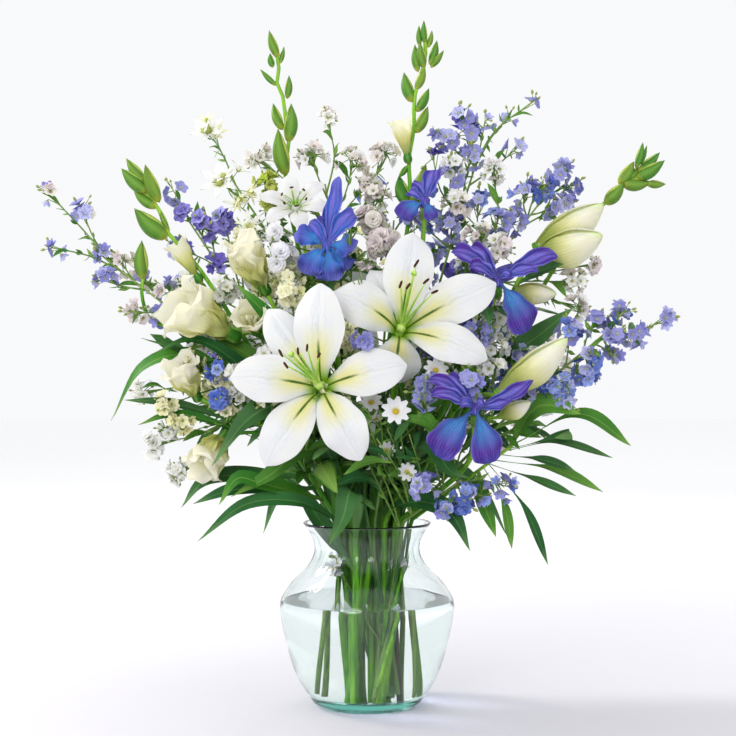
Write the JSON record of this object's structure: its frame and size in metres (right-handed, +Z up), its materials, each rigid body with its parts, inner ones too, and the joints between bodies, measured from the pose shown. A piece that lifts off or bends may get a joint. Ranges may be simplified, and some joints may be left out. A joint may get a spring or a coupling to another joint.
{
  "type": "lilies in a vase",
  "caption": "Mixed bouquet of white lilies, irises, bud spikes, sprays and foliage standing in a round clear glass vase with water.",
  "frame": {"origin": "middle of the vase's flat underside, on the surface it stands on", "axes": "+Z up along the vase's axis, -Y towards the bouquet's front where the two large lilies face, +X to the right seen from the front"},
  "size_m": [0.6285, 0.3062, 0.6782],
  "materials": {
    "vase_glass": "clear, thick base, slight green tint",
    "water": "clear water",
    "stem_green": "smooth green plant skin, satin",
    "leaf_green": "waxy leaf with parallel veins",
    "lily_white": "waxy white petal with fine ribs",
    "cream_petal": "ruffled petal, matt",
    "stamen_green": "green filaments with brown anthers",
    "bud_skin": "waxy closed bud, satin",
    "iris_purple": "velvety veined petal",
    "iris_blue": "velvety veined petal",
    "spike_bud": "closed buds along a green spike",
    "floret_lilac": "small soft petals",
    "floret_white": "small soft petals"
  },
  "bodies": {
    "root": {"cream_bloom_inner": "cream_petal", "cream_bloom_lower": "cream_petal", "cream_bloom_middle": "cream_petal", "cream_bloom_top": "cream_petal", "cream_bloom_upper": "cream_petal", "cream_stem_lower": "stem_green", "cream_stem_upper": "stem_green", "daisies_front": "floret_white", "filler_back_right": "floret_white", "filler_left": "floret_white", "filler_right": "floret_white", "filler_top": "floret_white", "foliage_back": "leaf_green", "foliage_right": "leaf_green", "iris_back_right_petals": "iris_purple", "iris_back_right_stem": "stem_green", "iris_centre_deep_petals": "iris_purple", "iris_centre_deep_stem": "stem_green", "iris_left_blue_petals": "iris_blue", "iris_left_blue_stem": "stem_green", "iris_right_high_petals": "iris_purple", "iris_right_high_stem": "stem_green", "iris_right_low_petals": "iris_purple", "iris_right_low_stem": "stem_green", "lily_back_left_petals": "lily_white", "lily_back_left_stamens": "stamen_green", "lily_back_left_stem": "stem_green", "lily_back_right_petals": "lily_white", "lily_back_right_stamens": "stamen_green", "lily_back_right_stem": "stem_green", "lily_bud_big": "bud_skin", "lily_bud_low": "bud_skin", "lily_bud_pair": "bud_skin", "lily_bud_small": "bud_skin", "lily_bud_stem": "stem_green", "lily_left_petals": "lily_white", "lily_left_stamens": "stamen_green", "lily_left_stem": "stem_green", "lily_right_petals": "lily_white", "lily_right_stamens": "stamen_green", "lily_right_stem": "stem_green", "spike_left": "spike_bud", "spike_right": "spike_bud", "spike_top_centre": "spike_bud", "spike_top_left": "spike_bud", "spray_airy_white": "floret_white", "spray_back_left": "floret_lilac", "spray_back_top": "floret_lilac", "spray_far_left": "floret_lilac", "spray_far_right": "floret_lilac", "spray_front_low": "floret_lilac", "spray_left_violet": "floret_lilac", "spray_right_upper": "floret_lilac", "spray_top_right": "floret_lilac", "star_lily_petals": "lily_white", "star_lily_stem": "stem_green", "vase": "vase_glass", "water": "water"}
  },
  "joints": []
}
